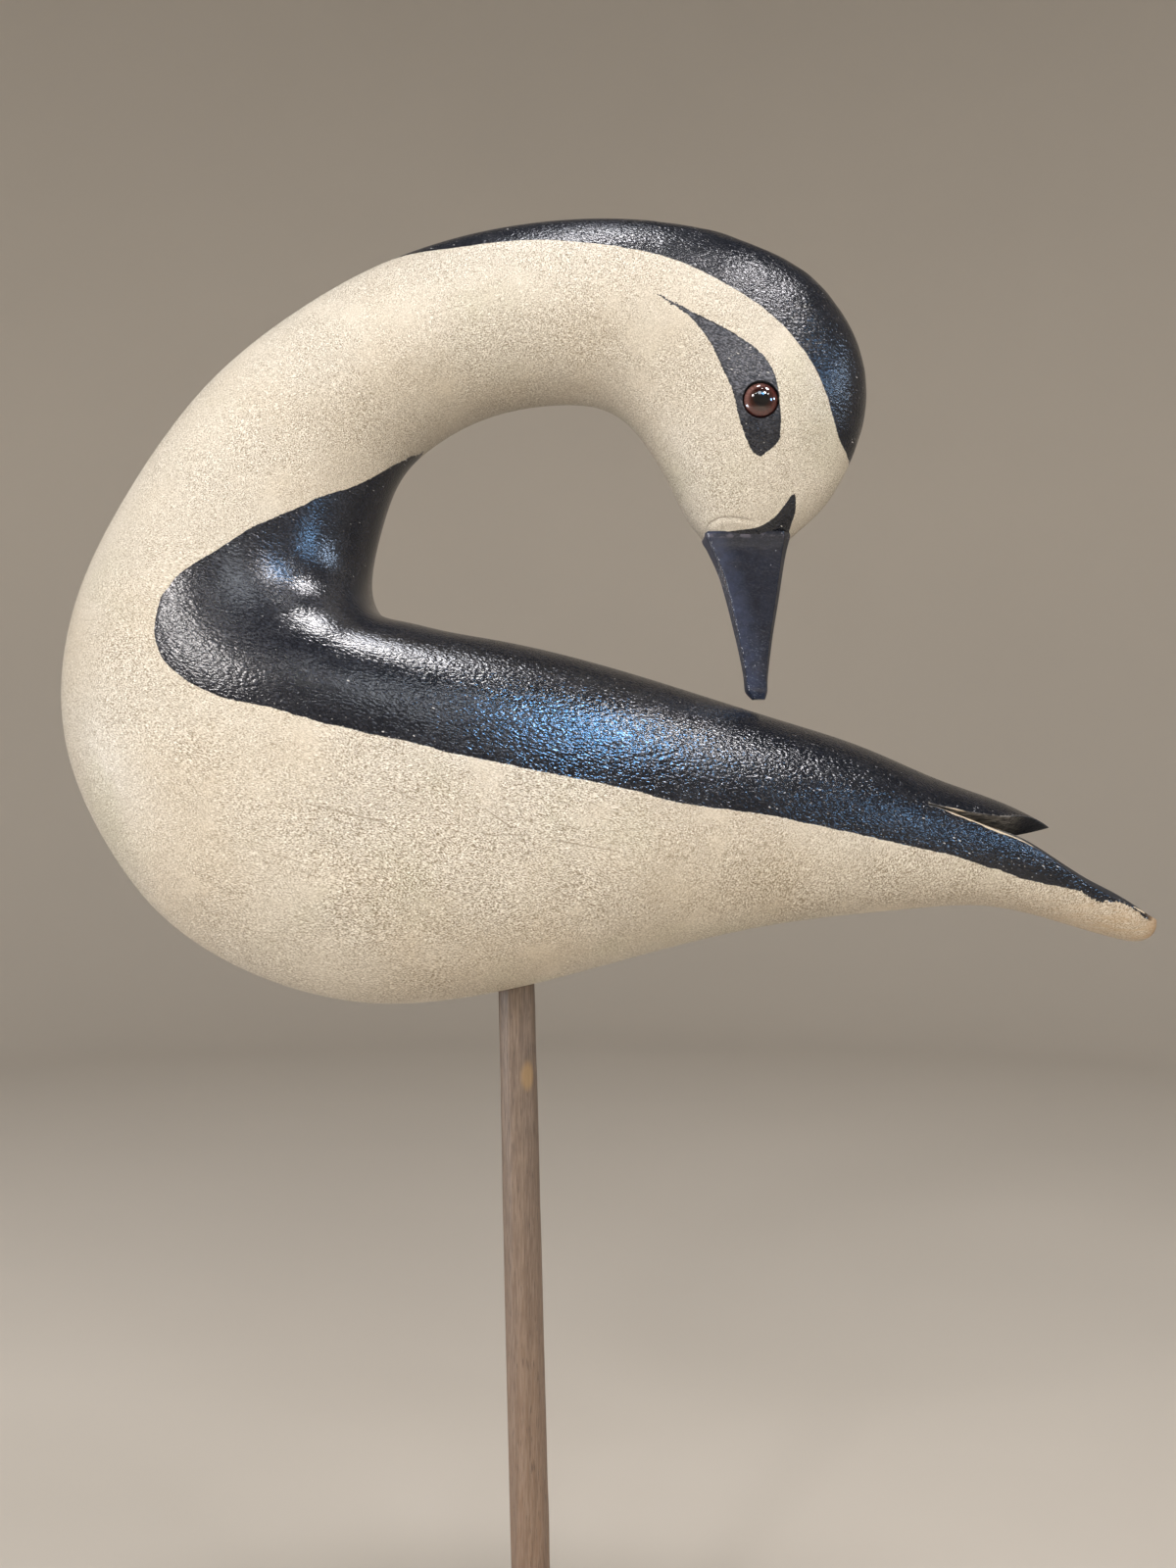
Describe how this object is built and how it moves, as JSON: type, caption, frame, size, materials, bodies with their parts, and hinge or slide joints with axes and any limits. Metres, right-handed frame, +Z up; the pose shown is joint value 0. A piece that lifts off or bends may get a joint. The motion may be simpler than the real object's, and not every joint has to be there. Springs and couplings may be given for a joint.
{
  "type": "shorebird decoy",
  "caption": "Carved and painted wooden shorebird, neck arched back over the body to preen, on a stick in a low round base.",
  "frame": {"origin": "centre of the round base's underside", "axes": "+Z up, -X where the breast faces, +X where the tail points, +Y towards the bird's far side; y = 0 is its mirror plane"},
  "size_m": [0.3539, 0.156, 0.5166],
  "materials": {
    "painted_wood": "aged cream oil paint with fine brown speckle, glossy black back, cap and eye stripe",
    "bill_paint": "blue-black satin paint, thin along its bevels",
    "eye_glass": "clear domed glass over a red-brown iris and black pupil",
    "stick_wood": "bare weathered grey-brown wood with long grain and scuffs",
    "base_wood": "dark stained and waxed turned wood, worn on its edge"
  },
  "bodies": {
    "root": {"carved_bird": "painted_wood", "bill": "bill_paint", "glass_eye_near": "eye_glass", "glass_eye_far": "eye_glass", "stick": "stick_wood", "base": "base_wood"}
  },
  "joints": []
}
